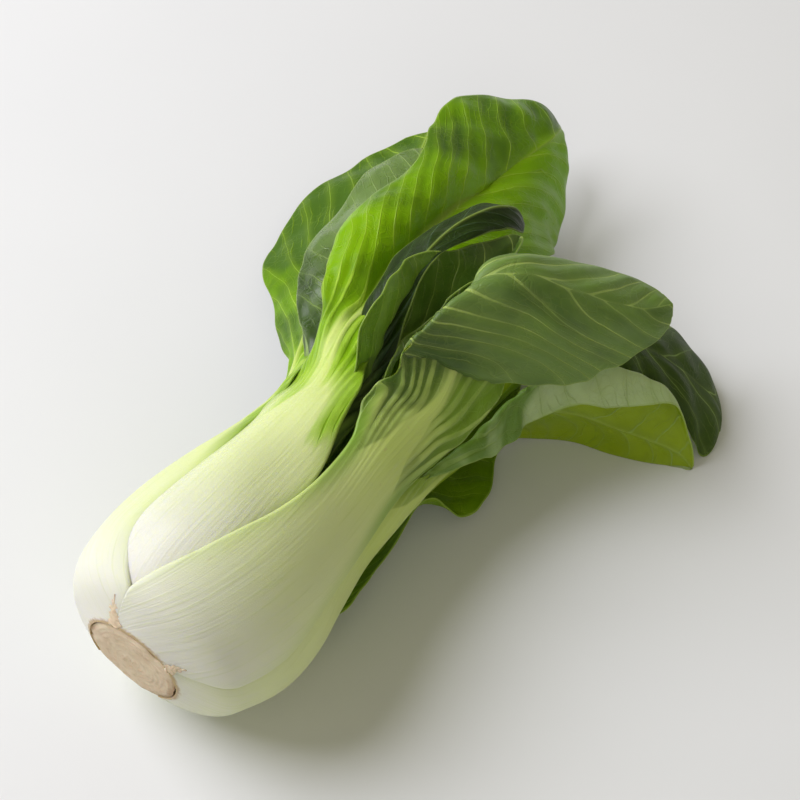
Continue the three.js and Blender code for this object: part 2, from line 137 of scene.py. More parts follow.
def wrap(x, left, middle, right, depth_left=0, depth_middle=0, depth_right=0):
    """A section round the bulb at station x: angles in degrees about its axis, depths below its surface."""
    radius = np.interp(x, STATION, BULB_RADIUS)
    bend = np.interp(x, STATION, BULB_BEND)
    side = np.abs(COLUMNS)
    edge = np.where(COLUMNS < 0, left, right)
    depth_edge = np.where(COLUMNS < 0, depth_left, depth_right)
    angle = np.radians(middle + (edge - middle) * side)
    r = radius - (depth_middle + (depth_edge - depth_middle) * side ** 2)
    return around(np.full_like(r, x), bend, r, angle)


def parabola(start, through, end):
    start, through, end = np.array(start, float), np.array(through, float), np.array(end, float)
    control = (4 * through - start - end) / 2
    return start * (1 - SIDE) ** 2 + 2 * control * SIDE * (1 - SIDE) + end * SIDE ** 2


def across(left, left_half, midrib, right_half, right):
    """A section through five places."""
    left_side = parabola(midrib, left_half, left)
    right_side = parabola(midrib, right_half, right)
    return np.where(COLUMNS[:, None] < 0, left_side, right_side)


def bulb(*rows):
    return [wrap(*row) for row in rows]


def blade(*rows):
    return [across(*row) for row in rows]


def tip(place):
    return [np.tile(np.array(place, float), (len(COLUMNS), 1))]


def heart_leaf(start, length, turn, radius):
    """A small young leaf that closes over the heart."""
    rows = []
    for part, reach in HEART_SHAPE:
        x = start + length * part
        depth = np.interp(x, STATION, BULB_RADIUS) - radius * reach
        rows.append(wrap(x, turn - HEART_HALF_WIDTH, turn, turn + HEART_HALF_WIDTH, depth, depth, depth))
    end = start + length
    rows += tip(around(end, np.interp(end, STATION, BULB_BEND), radius * HEART_TIP, math.radians(turn)))
    return {"stalk": HEART_STALK, "stalk_rows": 3, "rows": rows}


# What a leaf may state besides its stalk's wall, the number of rows in its stalk, and its rows.
LEAF_DEFAULTS = {
    # the blade begins this many rows before the last row of the stalk
    "lead": 1.2,
    # the leaf's end: 0 is round and 1 is sharp
    "point": 0,
    # height of the waves along the margin, and depth of the fold along the midrib
    "wave": 1.1,
    "channel": 0,
    # width of the midrib, and of the pale ribs beside it
    "rib": 1,
    "rib_fill": 1,
    # the side ribs run straight on for this many more rows before they lean outwards
    "straight": 0,
    # distance between side veins where they leave the midrib, their width, and how far they wander
    "vein_spacing": 12.0,
    "vein_width": 1,
    "wander": 0.4,
    # above 0 the stalk is greener, below 0 it is whiter
    "greener": 0,
    # which of the blade's two colours shows, added up: everywhere, right of the midrib, and past end_rows.
    # The last two mostly paint light and shade on the blade. Below -0.4 the blade darkens as well, as
    # painted shade.
    "base_tone": 0,
    "right_light": 0,
    "end_tone_and_light": 0,
    "end_rows": (3, 6),
}


# ---- the leaves, outermost first ----
LEAVES = {}

# Faces the front and top. Its blade folds back over its own ribs and points to the front right. Its tones
# paint
# light and shade: darker over the middle of the blade, lighter with sheen right of the midrib and towards
# the tip.
LEAVES["front_leaf"] = {
    "stalk": OUTER_STALK, "stalk_rows": 8, "lead": 0.6, "wave": 0.35, "point": 0.75,
    "base_tone": -0.15, "right_light": 0.25, "end_tone_and_light": 0.3, "rib_fill": 0.8, "straight": 0.8,
    "wander": 0.15, "vein_spacing": 16, "vein_width": 1.7,
    "rows": bulb(
        (0, 74, 110, 146), (6, 80, 124, 168), (14, 89, 130, 171), (26, 98, 133, 169),
        (40, 105, 136, 166), (56, 113, 140, 166), (74, 117, 142, 168), (92, 112, 137, 164),
    ) + blade(
        ((104, -14, 71), (109, -22, 67), (110, -30, 60), (112, -35, 53), (112, -38, 45)),
        ((114, -17, 74), (116, -21, 72), (124, -31, 63), (125, -37, 57), (125, -42, 49)),
        ((127, -25, 69), (123, -18, 82), (137, -29, 73), (141, -36, 66), (142, -43, 56)),
        ((138, -38, 60), (135, -25, 83), (150, -24, 87), (160, -24, 86), (168, -29, 77)),
        ((151, -53, 53), (153, -40, 79), (162, -34, 89), (171, -30, 86), (179, -29, 76)),
        ((167, -62, 48), (166, -52, 73), (172, -47, 80), (182, -42, 76), (191, -39, 68)),
        ((184, -69, 48), (182, -64, 62), (183, -58, 69), (192, -54, 68), (200, -51, 62)),
        ((196, -73, 51), (193, -70, 57), (193, -66, 61), (199, -62, 60), (205, -60, 57)),
    ) + tip((204, -70, 55)),
}

# Grows on the far left and spreads low to the left. Its blade darkens towards the end, as painted shade.
LEAVES["left_leaf"] = {
    "stalk": OUTER_STALK, "stalk_rows": 8, "base_tone": 0.06, "end_tone_and_light": -0.3, "vein_spacing": 15,
    "rows": bulb(
        (0, -30, 25, 70), (6, -38, 20, 79, 1, 0, 0.4), (14, -42, 14, 70, 2, 0, 1.6),
        (26, -42, 8, 58, 2, 0, 2.4), (42, -42, 8, 56, 2, 0, 2.6), (60, -38, 8, 54, 2, 0, 2.4),
        (78, -34, 10, 50, 2, 0, 1.6), (94, -28, 12, 41, 2, 0, 0.6),
    ) + blade(
        ((109, 19, 27), (109, 23, 37), (109, 21, 46), (110, 19, 52), (110, 15, 57)),
        ((124, 32, 27), (124, 32, 35), (124, 27, 43), (125, 21, 49), (126, 14, 53)),
        ((135, 45, 22), (137, 41, 31), (139, 34, 38), (142, 26, 45), (145, 17, 50)),
        ((149, 60, 17), (152, 52, 26), (156, 41, 34), (160, 30, 41), (164, 18, 46)),
        ((162, 73, 14), (167, 60, 23), (174, 44, 31), (179, 32, 38), (184, 20, 43)),
        ((181, 80, 12), (187, 65, 21), (194, 47, 28), (199, 35, 35), (203, 23, 40)),
        ((206, 81, 12), (210, 66, 20), (213, 50, 26), (217, 39, 32), (221, 29, 36)),
        ((229, 73, 14), (230, 62, 20), (232, 53, 24), (233, 46, 27), (235, 41, 30)),
    ) + tip((246, 58, 21)),
}

# Grows on the right. Its blade arches over like a tunnel and its tip rests on the surface. Under the arch
# its underside has a painted glow of light shining through, and its top flap a painted sheen.
LEAVES["right_leaf"] = {
    "stalk": OUTER_STALK, "stalk_rows": 8, "greener": 0.15, "lead": 0.9, "wave": 0.5,
    "base_tone": -0.1, "end_tone_and_light": 0.35,
    "rows": bulb(
        (0, 152, 200, 240), (6, 158, 208, 262, 6, 0, 1), (14, 160, 210, 266, 9, 0, 2),
        (26, 158, 208, 262, 9, 0, 2), (42, 156, 200, 254, 9, 0, 2), (58, 156, 194, 240, 8, 0, 2),
        (74, 158, 190, 226, 7, 0, 2), (92, 158, 186, 214, 6, 0, 2),
    ) + blade(
        ((112, -40, 40), (110, -38, 43), (109, -39, 37), (108, -37, 31), (107, -35, 26)),
        ((124, -46, 36), (123, -41, 43), (124, -40, 35), (123, -38, 29), (121, -37, 24)),
        ((134, -47, 31), (135, -43, 44), (140, -44, 35), (139, -41, 25), (137, -36, 17)),
        ((143, -49, 31), (145, -45, 47), (155, -49, 32), (156, -44, 18), (154, -38, 6)),
        ((149, -50, 33), (157, -49, 47), (165, -58, 27), (166, -52, 13), (164, -45, 2)),
        ((160, -62, 37), (171, -58, 45), (172, -69, 20), (173, -64, 9), (170, -58, 1)),
        ((173, -73, 34), (182, -70, 40), (179, -80, 13), (178, -77, 6), (175, -74, 1)),
        ((186, -86, 27), (188, -83, 26), (184, -90, 7), (182, -88, 3), (180, -87, 1)),
    ) + tip((185, -96, 1)),
}

# Grows on top, tucked under the front and left leaves, and reaches furthest. Its right half is lightened, as
# painted light shining through the blade.
LEAVES["top_leaf"] = {
    "stalk": OUTER_STALK, "stalk_rows": 9, "lead": 1.4, "base_tone": 0.15, "right_light": 0.6,
    "end_tone_and_light": -0.15, "channel": 8, "greener": -0.1, "rib": 0.45, "rib_fill": 1.2, "vein_spacing": 13,
    "straight": 1,
    "rows": bulb(
        (3, 44, 78, 104, 4, 2, 4), (9, 44, 80, 108, 6, 2, 6), (18, 44, 80, 112, 6, 1, 6),
        (30, 44, 80, 114, 5, 0, 5), (44, 44, 80, 116, 5, 0, 5), (60, 44, 78, 117, 4, 0, 4),
        (78, 42, 74, 112, 3, 0, 1), (94, 36, 68, 99, 1, 0, 0), (108, 33, 62, 92),
    ) + blade(
        ((126, 20, 62), (125, 15, 66), (126, 9, 67), (128, 3, 66), (128, -3, 63)),
        ((142, 30, 63), (143, 22, 66), (143, 11, 66), (144, 2, 66), (144, -8, 61)),
        ((160, 38, 60), (161, 27, 68), (162, 12, 64), (163, 0, 63), (163, -12, 54)),
        ((180, 38, 61), (181, 26, 67), (182, 12, 62), (183, -2, 56), (184, -15, 44)),
        ((203, 34, 62), (202, 24, 65), (202, 11, 58), (204, -3, 47), (206, -15, 33)),
        ((221, 40, 60), (221, 26, 58), (220, 10, 51), (223, -2, 37), (226, -12, 20)),
        ((241, 44, 53), (239, 27, 51), (238, 11, 44), (239, 1, 29), (239, -5, 10)),
        ((261, 35, 42), (257, 24, 43), (255, 12, 36), (256, 5, 25), (255, 1, 13)),
        ((272, 26, 34), (269, 20, 34), (267, 14, 30), (267, 10, 25), (265, 8, 19)),
    ) + tip((273, 17, 26)),
}

# Grows underneath and lies flat. A lobe of its margin shows at the right.
LEAVES["bottom_leaf"] = {
    "stalk": OUTER_STALK, "stalk_rows": 5, "greener": 0.2, "base_tone": 0.25,
    "rows": bulb(
        (3, 246, 290, 324, 4, 1, 4), (9, 250, 292, 326, 6, 1, 6), (18, 248, 292, 326, 6, 0, 6),
        (32, 244, 290, 326, 5, 0, 5), (48, 236, 286, 324, 4, 0, 4),
    ) + blade(
        ((65, -34, 13), (64, -20, 3), (64, -4, 1), (66, 11, 4), (66, 20, 12)),
        ((84, -34, 12), (84, -22, 3), (84, -7, 1), (85, 8, 3), (85, 18, 10)),
        ((100, -33, 17), (102, -24, 5), (102, -9, 1), (103, 6, 2), (103, 17, 7)),
        ((113, -36, 20), (113, -27, 8), (118, -11, 1), (120, 5, 1), (120, 19, 4)),
        ((119, -43, 7), (124, -30, 7), (134, -12, 1), (137, 6, 1), (138, 22, 2)),
        ((131, -47, 7), (139, -31, 3), (151, -12, 1), (154, 7, 1), (155, 23, 1)),
        ((149, -38, 4), (156, -26, 2), (168, -11, 1), (172, 7, 1), (172, 22, 1)),
        ((170, -32, 2), (176, -22, 1), (185, -8, 1), (189, 6, 1), (189, 18, 1)),
        ((190, -22, 1), (195, -15, 1), (200, -5, 1), (203, 4, 1), (203, 11, 1)),
    ) + tip((211, -5, 1)),
}

# Second whorl: between the left and top leaves, its blade over the left leaf's. Its tones paint shade low on
# the blade and a blue-grey sheen further up.
LEAVES["left_inner_leaf"] = {
    "stalk": INNER_STALK, "stalk_rows": 6, "base_tone": -0.2, "end_tone_and_light": 0.4,
    "rows": bulb(
        (10, -30, 14, 56, 11, 9, 11), (20, -32, 14, 56, 11, 9, 11), (34, -32, 14, 56, 11, 9, 11),
        (50, -30, 14, 54, 11, 9, 11), (70, -26, 16, 52, 11, 9, 10), (90, -18, 22, 50, 11, 9, 9),
    ) + blade(
        ((106, 11, 42), (107, 14, 47), (108, 13, 51), (109, 10, 54), (110, 6, 56)),
        ((120, 23, 50), (121, 20, 53), (122, 16, 55), (124, 11, 57), (126, 5, 57)),
        ((131, 32, 48), (134, 28, 53), (138, 21, 56), (141, 13, 58), (144, 4, 57)),
        ((143, 43, 47), (147, 36, 53), (154, 26, 56), (159, 16, 58), (163, 5, 56)),
        ((160, 50, 45), (166, 40, 52), (173, 30, 55), (178, 19, 56), (182, 8, 53)),
        ((184, 53, 43), (187, 44, 49), (192, 33, 52), (196, 23, 53), (199, 13, 50)),
        ((205, 54, 42), (206, 46, 46), (208, 37, 48), (211, 29, 49), (213, 21, 47)),
    ) + tip((221, 44, 44)),
}

# Second whorl: its blade hangs to the far right, behind the right leaf. Its inner face is darkened with
# painted shade, and its outer face has the underside's painted glow.
LEAVES["back_leaf"] = {
    "stalk": INNER_STALK, "stalk_rows": 6, "vein_spacing": 16,
    "rows": bulb(
        (10, 182, 222, 262, 12, 9, 12), (22, 182, 222, 264, 12, 9, 12), (38, 182, 220, 262, 12, 9, 12),
        (56, 182, 216, 252, 11, 9, 11), (76, 180, 208, 238, 11, 9, 11), (94, 176, 200, 226, 10, 8, 10),
    ) + blade(
        ((112, -28, 42), (113, -31, 38), (113, -32, 33), (112, -30, 28), (111, -27, 24)),
        ((132, -30, 52), (133, -35, 46), (133, -37, 39), (132, -33, 30), (130, -27, 23)),
        ((152, -36, 55), (154, -42, 51), (154, -42, 44), (156, -36, 38), (157, -27, 32)),
        ((174, -54, 44), (174, -53, 48), (175, -51, 45), (181, -44, 41), (186, -36, 36)),
        ((186, -72, 28), (189, -68, 36), (194, -62, 37), (202, -56, 34), (208, -50, 28)),
        ((192, -88, 12), (196, -83, 21), (203, -75, 25), (212, -68, 24), (219, -62, 20)),
        ((190, -96, 2), (197, -91, 10), (207, -84, 15), (215, -79, 15), (221, -74, 12)),
        ((196, -98, 1), (202, -94, 7), (209, -89, 9), (214, -86, 9), (218, -83, 7)),
    ) + tip((209, -93, 3)),
}

# Second whorl: a short blade that arches over the curled leaf's tip like a hood. Its near-black greens are
# painted shade.
LEAVES["hood_leaf"] = {
    "stalk": INNER_STALK, "stalk_rows": 6, "rib": 0.3,
    "rows": bulb(
        (12, 66, 92, 120, 12, 9, 12), (26, 66, 92, 122, 12, 9, 12), (42, 66, 92, 122, 12, 9, 12),
        (60, 62, 88, 118, 12, 9, 12), (80, 58, 82, 112, 11, 9, 11), (98, 52, 76, 104, 9, 8, 9),
    ) + blade(
        ((115, 5, 58), (116, 2, 60), (117, -3, 61), (118, -8, 60), (118, -12, 57)),
        ((134, 10, 62), (134, 5, 66), (135, -1, 68), (137, -5, 70), (138, -7, 71)),
        ((152, 13, 67), (153, 7, 72), (154, 1, 74), (156, -2, 76), (158, -3, 77)),
        ((172, 9, 70), (172, 5, 74), (173, 0, 76), (175, -5, 76), (177, -8, 74)),
        ((191, 4, 68), (191, 0, 71), (190, -4, 73), (190, -8, 71), (190, -12, 68)),
        ((200, -2, 64), (200, -5, 66), (200, -8, 67), (199, -11, 64), (198, -14, 60)),
    ) + tip((203, -10, 60)),
}

# Third whorl: a blade curled lengthwise into a channel that opens upwards, in the gap on top. Its far end is
# darkened with painted shade, under the hood leaf.
LEAVES["curled_leaf"] = {
    "stalk": HEART_STALK, "stalk_rows": 3, "base_tone": 0.1, "end_tone_and_light": -0.9, "end_rows": (7, 10),
    "rows": bulb(
        (14, 250, 292, 334, 19, 16, 19), (26, 250, 292, 336, 19, 17, 19),
        (42, 250, 294, 338, 19, 18, 19),
    ) + blade(
        ((60, -17, 31), (60, -12, 25), (60, -4, 23), (60, 3, 26), (60, 7, 31)),
        ((78, -18, 43), (78, -14, 36), (78, -7, 33), (78, 0, 37), (78, 3, 43)),
        ((94, -17, 54), (95, -14, 48), (95, -9, 45), (95, -4, 49), (96, 0, 54)),
        ((107, -15, 61), (109, -14, 56), (109, -9, 53), (109, -5, 58), (109, -4, 64)),
        ((119, -12, 66), (121, -12, 61), (121, -7, 58), (119, -3, 66), (117, -3, 76)),
        ((133, -9, 66), (134, -11, 62), (134, -7, 59), (130, -1, 70), (128, 1, 83)),
        ((146, -11, 67), (147, -13, 63), (148, -9, 60), (145, -2, 71), (142, 2, 84)),
        ((157, -14, 70), (159, -16, 65), (161, -12, 62), (158, -5, 70), (155, 2, 80)),
        ((170, -18, 70), (172, -19, 66), (173, -15, 63), (171, -10, 68), (169, -4, 75)),
        ((183, -20, 67), (184, -19, 65), (185, -17, 63), (185, -14, 65), (184, -9, 69)),
    ) + tip((193, -16, 64)),
}

LEAVES["heart_leaf_front"] = heart_leaf(22, 62, 150, 14)
LEAVES["heart_leaf_left"] = heart_leaf(26, 52, 30, 12)
LEAVES["heart_leaf_top"] = heart_leaf(30, 42, 80, 8)


# ---- from rows to a fine leaf ----

def smooth_rows(rows, point):
    """Catmull-Rom along the leaf. Past the tip the margins swap sides, which rounds the leaf's end.

    point draws the end out instead, from 0 for a round end to 1 for a sharp one.
    """
    rows = np.array(rows)
    beyond = rows[-2][::-1] * (1 - point) + (2 * rows[-1] - rows[-2]) * point
    whole = np.concatenate([[2 * rows[0] - rows[1]], rows, [beyond]])
    t = (np.arange(STEPS_PER_ROW) / STEPS_PER_ROW)[:, None, None]
    bands = []
    for i in range(1, len(whole) - 2):
        a, b, c, d = whole[i - 1:i + 3]
        bands.append(0.5 * (2 * b + (c - a) * t + (2 * a - 5 * b + 4 * c - d) * t ** 2
                            + (3 * b - a - 3 * c + d) * t ** 3))
    return np.concatenate(bands + [rows[-1:]])


def smoothstep(low, high, x):
    t = np.clip((x - low) / (high - low), 0, 1)
    return t * t * (3 - 2 * t)


def unit(vectors):
    return vectors / np.maximum(np.linalg.norm(vectors, axis=-1, keepdims=True), 1e-9)


def normals_of(grid):
    along = np.gradient(grid, axis=0)
    to_left = -np.gradient(grid, axis=1)
    along[-1] = along[-2]
    to_left[-1] = to_left[-2]
    return unit(np.cross(along, to_left))


def soft_noise(rng, *fields):
    """Smooth noise between about -1 and 1 over fields that are already scaled to its grain."""
    total = 0
    for _ in range(NOISE_WAVES):
        turn = rng.uniform(0, 2 * math.pi)
        pull = rng.uniform(0.6, 1.4, len(fields))
        total = total + np.sin(turn + sum(p * f * rng.choice([-1, 1]) for p, f in zip(pull, fields)))
    return total / NOISE_WAVES ** 0.5


def measure(grid, leaf):
    """The leaf's own coordinates at each point of its grid, in millimetres and in rows.

    along is from the base, side and out are from the midrib with and without a sign, half is the half width
    there, and row counts from where the blade begins.
    """
    middle = HALF_COLUMNS
    step = np.linalg.norm(np.diff(grid[:, middle], axis=0), axis=1)
    along = np.concatenate([[0], np.cumsum(step)])
    gaps = np.linalg.norm(np.diff(grid, axis=1), axis=2)
    side = np.concatenate([np.zeros((len(grid), 1)), np.cumsum(gaps, axis=1)], axis=1)
    side = side - side[:, middle:middle + 1]
    half = np.where(COLUMNS < 0, -side[:, :1], side[:, -1:])
    out = np.abs(side)
    row = np.arange(len(grid)) / STEPS_PER_ROW - leaf["stalk_rows"] + leaf["lead"]
    every = np.zeros_like(side)
    return SimpleNamespace(along=along[:, None] + every, side=side, out=out, half=half,
                           row=row[:, None] + every, to_margin=half - out, across=out / np.maximum(half, 1))


def wall_thickness(leaf, row):
    """The wall at each row, thinner towards the margins."""
    n = leaf["stalk_rows"]
    stops = [-n, 1.5 - n, -1, 1.5, 3]
    middle = np.interp(row, stops, [CUT_WALL, leaf["stalk"], NECK_WALL, BLADE_WALL, BLADE_WALL])
    edge = np.interp(row, stops, [STALK_EDGE, STALK_EDGE, NECK_EDGE, BLADE_WALL, BLADE_WALL])
    w = np.abs(COLUMNS)
    return edge + (middle - edge) * (1 - w ** 2)


def ragged_margin(grid, at, rng):
    """Pulls the blade's margin in, in small scallops."""
    along = at.along[:, 0]
    depth = SCALLOP_MEAN + 0.3 * soft_noise(rng, along / 2.3) + 0.35 * soft_noise(rng, along / 7)
    depth = np.clip(depth, 0, SCALLOP_MOST) * smoothstep(-1, 1, at.row[:, 0])
    out = grid.copy()
    for u in range(len(grid) - STEPS_PER_ROW // 2):
        keep = 1 - depth[u] / max(at.half[u].min(), 3)
        for axis in range(3):
            out[u, :, axis] = np.interp(COLUMNS * keep, COLUMNS, grid[u, :, axis])
    return out


def vein_field(leaf, at, rng):
    """A number that rises by one from each side vein to the next. It is level along the stalk's ribs."""
    row = at.row - leaf["straight"]
    spacing = leaf["vein_spacing"]
    leaving = smoothstep(0.8, 3.6, row[:, :1]) * np.gradient(at.along[:, :1], axis=0)
    start = np.cumsum(leaving, axis=0) / spacing
    blade_density = np.interp(row, LEAN_ROWS, VEIN_LEAN) / spacing
    stalk_density = STALK_RIBS / np.maximum(at.half, 8)
    density = stalk_density + (blade_density - stalk_density) * smoothstep(-2.5, 0.3, row)
    bow = 1 - 0.2 * smoothstep(0, 2, row) * at.out / np.maximum(at.half, 1)
    wander = leaf["wander"] * soft_noise(rng, at.along / 19, at.side / 15)
    wander = wander + 0.05 * soft_noise(rng, at.along / 5, at.side / 4)
    uneven = 0.3 * soft_noise(rng, at.side * density * 1.1)
    # veins on the right of the midrib leave it between those on the left
    shift = 0.45 * (at.side > 0)
    return start - density * at.out * bow + uneven + (wander + shift) * smoothstep(-2, 1, row)


def vein_gap(phase, at):
    """The distance between neighbouring side veins."""
    slope_u = np.gradient(phase, axis=0) / np.maximum(np.gradient(at.along, axis=0), 1e-3)
    slope_v = np.gradient(phase, axis=1) / np.maximum(np.abs(np.gradient(at.side, axis=1)), 1e-3)
    return 1 / np.maximum(np.hypot(slope_u, slope_v), 0.03)


def vein_half_width(leaf, at, gap, rng):
    """Half the width of the side veins: broad pale ribs near the stalk, fine lines further out."""
    fine = np.interp(at.row, FINE_ROWS, FINE_HALF)
    fine = leaf["vein_width"] * fine * (0.35 + 0.65 * np.exp(-at.out / 14))
    fine = fine * np.clip(1.15 - at.out / at.half.max(), 0.3, 1)
    fill = np.interp(at.row + 0.9 * at.across ** 2 - 0.3, FILL_ROWS, FILL_PART)
    fill = fill * leaf["rib_fill"]
    return fine + 0.5 * gap * fill * (1 + 0.3 * soft_noise(rng, at.along / 9, at.side / 2.5))


def face_relief(leaf, at, pillow, off_rib, seed, rng):
    """How far both faces move outwards: waves, puckers, bumps, swellings and the midrib's channel."""
    blade = smoothstep(-0.6, 1.2, at.row)
    inside = smoothstep(0, 4, off_rib) * smoothstep(0, 5, at.to_margin)
    pucker = PUCKER * pillow * inside * blade
    edge = at.across ** 3 * np.clip(at.half / 22, 0, 1)
    ripple = np.sin(at.along / 5.6 + 3 * np.sign(at.side) + seed) * 0.6
    ripple = ripple + soft_noise(rng, at.along / 3.1) * 0.3
    wave = leaf["wave"] * ripple * edge * blade
    bumps = 0.25 * soft_noise(rng, at.along / 2.6, at.side / 2.9)
    bumps = bumps + 0.4 * soft_noise(rng, at.along / 6, at.side / 5)
    bumps = bumps * blade * inside
    swell = SWELL * soft_noise(rng, at.along / 12, at.side / 6) * smoothstep(-6, -3, at.row) * (1 - blade)
    channel = leaf["channel"] * smoothstep(1, 3, at.row) * smoothstep(9, 6.5, at.row) * np.exp(-at.out / 8)
    return wave - pucker + bumps + swell - channel


def rib_relief(at, pillow, rib):
    """How far the midrib and the side ribs stand out from the outer face."""
    ridge = np.interp(at.row, RIDGE_ROWS, RIDGE_HEIGHT)
    ridge = ridge * np.exp(-(at.out / np.maximum(1.1 * rib, 0.8)) ** 2)
    fan = np.interp(at.row, FAN_ROWS, FAN_HEIGHT)
    fan = fan * (1 - pillow) ** 1.5 * smoothstep(0, 3, at.to_margin) * smoothstep(0, 0.35, at.across)
    return ridge + fan


def leaf_faces(leaf, grid, at, lift, ribs):
    """The outer and inner faces, closed at the tip and kept above the surface."""
    normal = normals_of(grid)
    face = grid + normal * lift[..., None]
    outer = face + normal * ribs[..., None]
    inner = face - normal * wall_thickness(leaf, at.row)[..., None]
    for sheet, lowest in ((outer, REST_LEVEL), (inner, REST_LEVEL + REST_WALL)):
        sheet[-1] = sheet[-1, HALF_COLUMNS]
        sheet[..., 2] = np.maximum(sheet[..., 2], lowest)
    return outer, inner


def blade_tone_and_light(leaf, at):
    # The tone picks the blade's colour, and its right and end parts add painted light and shade.
    tone = leaf["base_tone"] + leaf["right_light"] * smoothstep(-2, 5, at.side)
    return tone + leaf["end_tone_and_light"] * smoothstep(*leaf["end_rows"], at.row)


def leaf_fields(leaf, seed):
    """The leaf's outer and inner faces and the measures that its material reads."""
    rng = np.random.default_rng(seed)
    grid = smooth_rows(leaf["rows"], leaf["point"])
    grid = ragged_margin(grid, measure(grid, leaf), rng)
    at = measure(grid, leaf)
    rib = at.half * np.interp(at.row, RIB_ROWS, RIB_PART) * leaf["rib"] + RIB_LEAST
    off_rib = at.out - rib
    phase = vein_field(leaf, at, rng)
    gap = vein_gap(phase, at)
    vein_half = vein_half_width(leaf, at, gap, rng)
    pillow = (1 - np.cos(2 * math.pi * phase)) / 2
    lift = face_relief(leaf, at, pillow, off_rib, seed, rng)
    outer, inner = leaf_faces(leaf, grid, at, lift, rib_relief(at, pillow, rib))
    return outer, inner, {
        "along": at.along, "side": at.side, "off_rib": off_rib, "to_margin": at.to_margin,
        "vein_phase": phase, "vein_gap": gap, "vein_half": vein_half,
        "stalk_part": at.along / np.interp(0.5, at.row[:, 0], at.along[:, 0]) + leaf["greener"],
        "branches": smoothstep(1.5, 3.5, at.row) * smoothstep(3, 9, at.out),
        "tone": blade_tone_and_light(leaf, at),
    }


def leaf_points(outer, inner):
    """The points of both faces, then those that round the left margin and the right one."""
    margins = []
    for k, inward in ((0, 1), (outer.shape[1] - 1, -1)):
        outward = unit(outer[:, k] - outer[:, k + inward])
        wall = np.linalg.norm(outer[:, k] - inner[:, k], axis=1, keepdims=True)
        for step in range(1, MARGIN_STEPS):
            part = step / MARGIN_STEPS
            bulge = 0.5 * wall * math.sin(math.pi * part)
            margins.append(outer[:, k] * (1 - part) + inner[:, k] * part + outward * bulge)
    points = np.concatenate([outer.reshape(-1, 3), inner.reshape(-1, 3)] + margins)
    points[:, 2] = np.maximum(points[:, 2], REST_LEVEL)
    return points


def grid_faces(rows, columns, flip):
    u, k = np.meshgrid(np.arange(rows - 1), np.arange(columns - 1), indexing="ij")
    a = (u * columns + k).ravel()
    faces = np.stack([a, a + 1, a + columns + 1, a + columns], axis=1)
    return faces[:, ::-1] if flip else faces


def margin_lines(rows, columns, right):
    """The lines of points from the outer face round one margin to the inner face."""
    size = rows * columns
    strip = np.arange(rows)
    edge = strip * columns + right * (columns - 1)
    start = 2 * size + right * (MARGIN_STEPS - 1) * rows
    return [edge] + [start + step * rows + strip for step in range(MARGIN_STEPS - 1)] + [size + edge]


def leaf_polygons(rows, columns):
    size = rows * columns
    faces = [grid_faces(rows, columns, False), grid_faces(rows, columns, True) + size]
    margins = [margin_lines(rows, columns, right) for right in (0, 1)]
    for right, lines in enumerate(margins):
        for first, second in zip(lines, lines[1:]):
            band = np.stack([first[:-1], first[1:], second[1:], second[:-1]], axis=1)
            faces.append(band[:, ::-1] if right else band)
    # the base end is a strip of quads between the two faces, with a polygon for each rounded margin
    base = np.arange(columns - 1)
    faces.append(np.stack([base, size + base, size + base + 1, base + 1], axis=1))
    polygons = [tuple(f) for block in faces for f in block.tolist()]
    left_end, right_end = ([line[0] for line in lines] for lines in margins)
    polygons.append(tuple(left_end))
    polygons.append((right_end[0], *right_end[:0:-1]))
    return polygons


def leaf_piece(name, leaf, seed):
    """One closed leaf: both faces, rounded margins, and an end at the base."""
    outer, inner, fields = leaf_fields(leaf, seed)
    rows, columns = outer.shape[:2]
    points = leaf_points(outer, inner)
    obj = new_mesh(name, (points + TO_FRAME) * MM, leaf_polygons(rows, columns))
    for key, field in fields.items():
        rounding = [field[:, k] for k in (0, -1) for _ in range(MARGIN_STEPS - 1)]
        store(obj.data, key, np.concatenate([field.ravel(), field.ravel()] + rounding))
    flat = np.repeat([0.0, 1.0], rows * columns)
    rounded = np.repeat(np.arange(1, MARGIN_STEPS) / MARGIN_STEPS, rows)
    store(obj.data, "face_side", np.concatenate([flat, rounded, rounded]))
    weld(obj)
    return obj


def new_mesh(name, points, polygons):
    mesh = bpy.data.meshes.new(name)
    mesh.from_pydata(points.tolist(), [], polygons)
    mesh.update()
    obj = bpy.data.objects.new(name, mesh)
    bpy.context.scene.collection.objects.link(obj)
    return obj


def store(mesh, key, values):
    layer = mesh.attributes.new(key, "FLOAT", "POINT")
    layer.data.foreach_set("value", np.ascontiguousarray(values, dtype=np.float32))


def weld(obj):
    """Merges the points that meet at the leaf's tip and shades the mesh smooth."""
    shape = bmesh.new()
    shape.from_mesh(obj.data)
    bmesh.ops.remove_doubles(shape, verts=shape.verts, dist=WELD_DISTANCE)
    bmesh.ops.recalc_face_normals(shape, faces=shape.faces)
    shape.to_mesh(obj.data)
    shape.free()
    obj.data.shade_smooth()
    obj.data.set_sharp_from_angle(angle=SHARP_ANGLE)


# ---- the stem ----

def cut_rings(angle):
    """The rings of the cut face, from near its middle to its ragged, raised rim."""
    rng = np.random.default_rng(STEM_SEED)
    ragged = 0.5 * soft_noise(rng, angle * 3) + 0.3 * soft_noise(rng, angle * 9)
    ragged = ragged + 0.16 * soft_noise(rng, angle * 23)
    rings = []
    for i in range(1, CUT_RINGS + 1):
        part = i / CUT_RINGS
        r = part * (STEM_PROFILE[0][0] + ragged * part ** 2)
        lumps = soft_noise(rng, angle * 4, np.full_like(angle, part * 9))
        dish = -CUT_DISH + 0.35 * part ** 2 + 0.12 * lumps + 0.5 * smoothstep(0.86, 1, part)
        rings.append(around(dish, 0, r, angle))
    return rings


